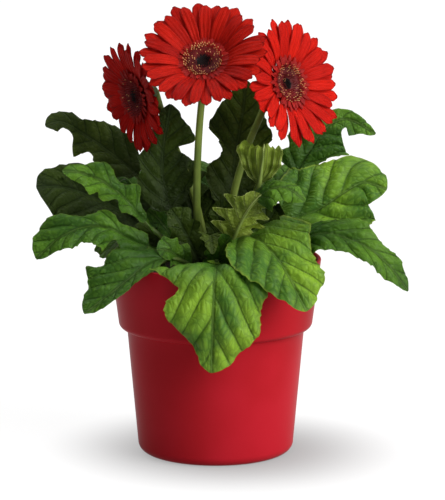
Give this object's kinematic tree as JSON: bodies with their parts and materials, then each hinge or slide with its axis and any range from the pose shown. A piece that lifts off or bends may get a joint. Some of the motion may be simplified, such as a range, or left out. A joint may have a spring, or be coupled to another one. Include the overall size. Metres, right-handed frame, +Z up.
{
  "type": "potted gerbera",
  "caption": "Flowering gerbera in a round collared pot, with three double-row red blooms over a rosette of lobed leaves.",
  "frame": {"origin": "centre of the pot's flat underside, where it rests", "axes": "+Z up along the pot's axis, -Y towards the side the blooms mostly look to, +X to the right seen from there"},
  "size_m": [0.2881, 0.2309, 0.3527],
  "materials": {
    "pot": "satin gloss",
    "soil": "matte, crumbly",
    "leaf": "soft satin, veined",
    "stem": "matte",
    "petal": "velvety matte",
    "disc": "matte"
  },
  "bodies": {
    "root": {"pot": "pot", "soil": "soil", "leaf_front": "leaf", "leaf_front_right": "leaf", "leaf_right_low": "leaf", "leaf_right": "leaf", "leaf_right_high": "leaf", "leaf_top": "leaf", "leaf_left_tall": "leaf", "leaf_left_high": "leaf", "leaf_left": "leaf", "leaf_left_bright": "leaf", "leaf_left_low": "leaf", "leaf_left_front": "leaf", "leaf_inner_upright": "leaf", "leaf_inner_folded": "leaf", "leaf_middle": "leaf", "leaf_young": "leaf", "leaf_back_right": "leaf", "leaf_back": "leaf", "leaf_back_left": "leaf", "leaf_back_low": "leaf", "leaf_back_middle": "leaf", "leaf_back_left_low": "leaf", "leaf_back_right_low": "leaf", "stem_left": "stem", "petals_left": "petal", "disc_left": "disc", "stem_centre": "stem", "petals_centre": "petal", "disc_centre": "disc", "stem_right": "stem", "petals_right": "petal", "disc_right": "disc"}
  },
  "joints": []
}
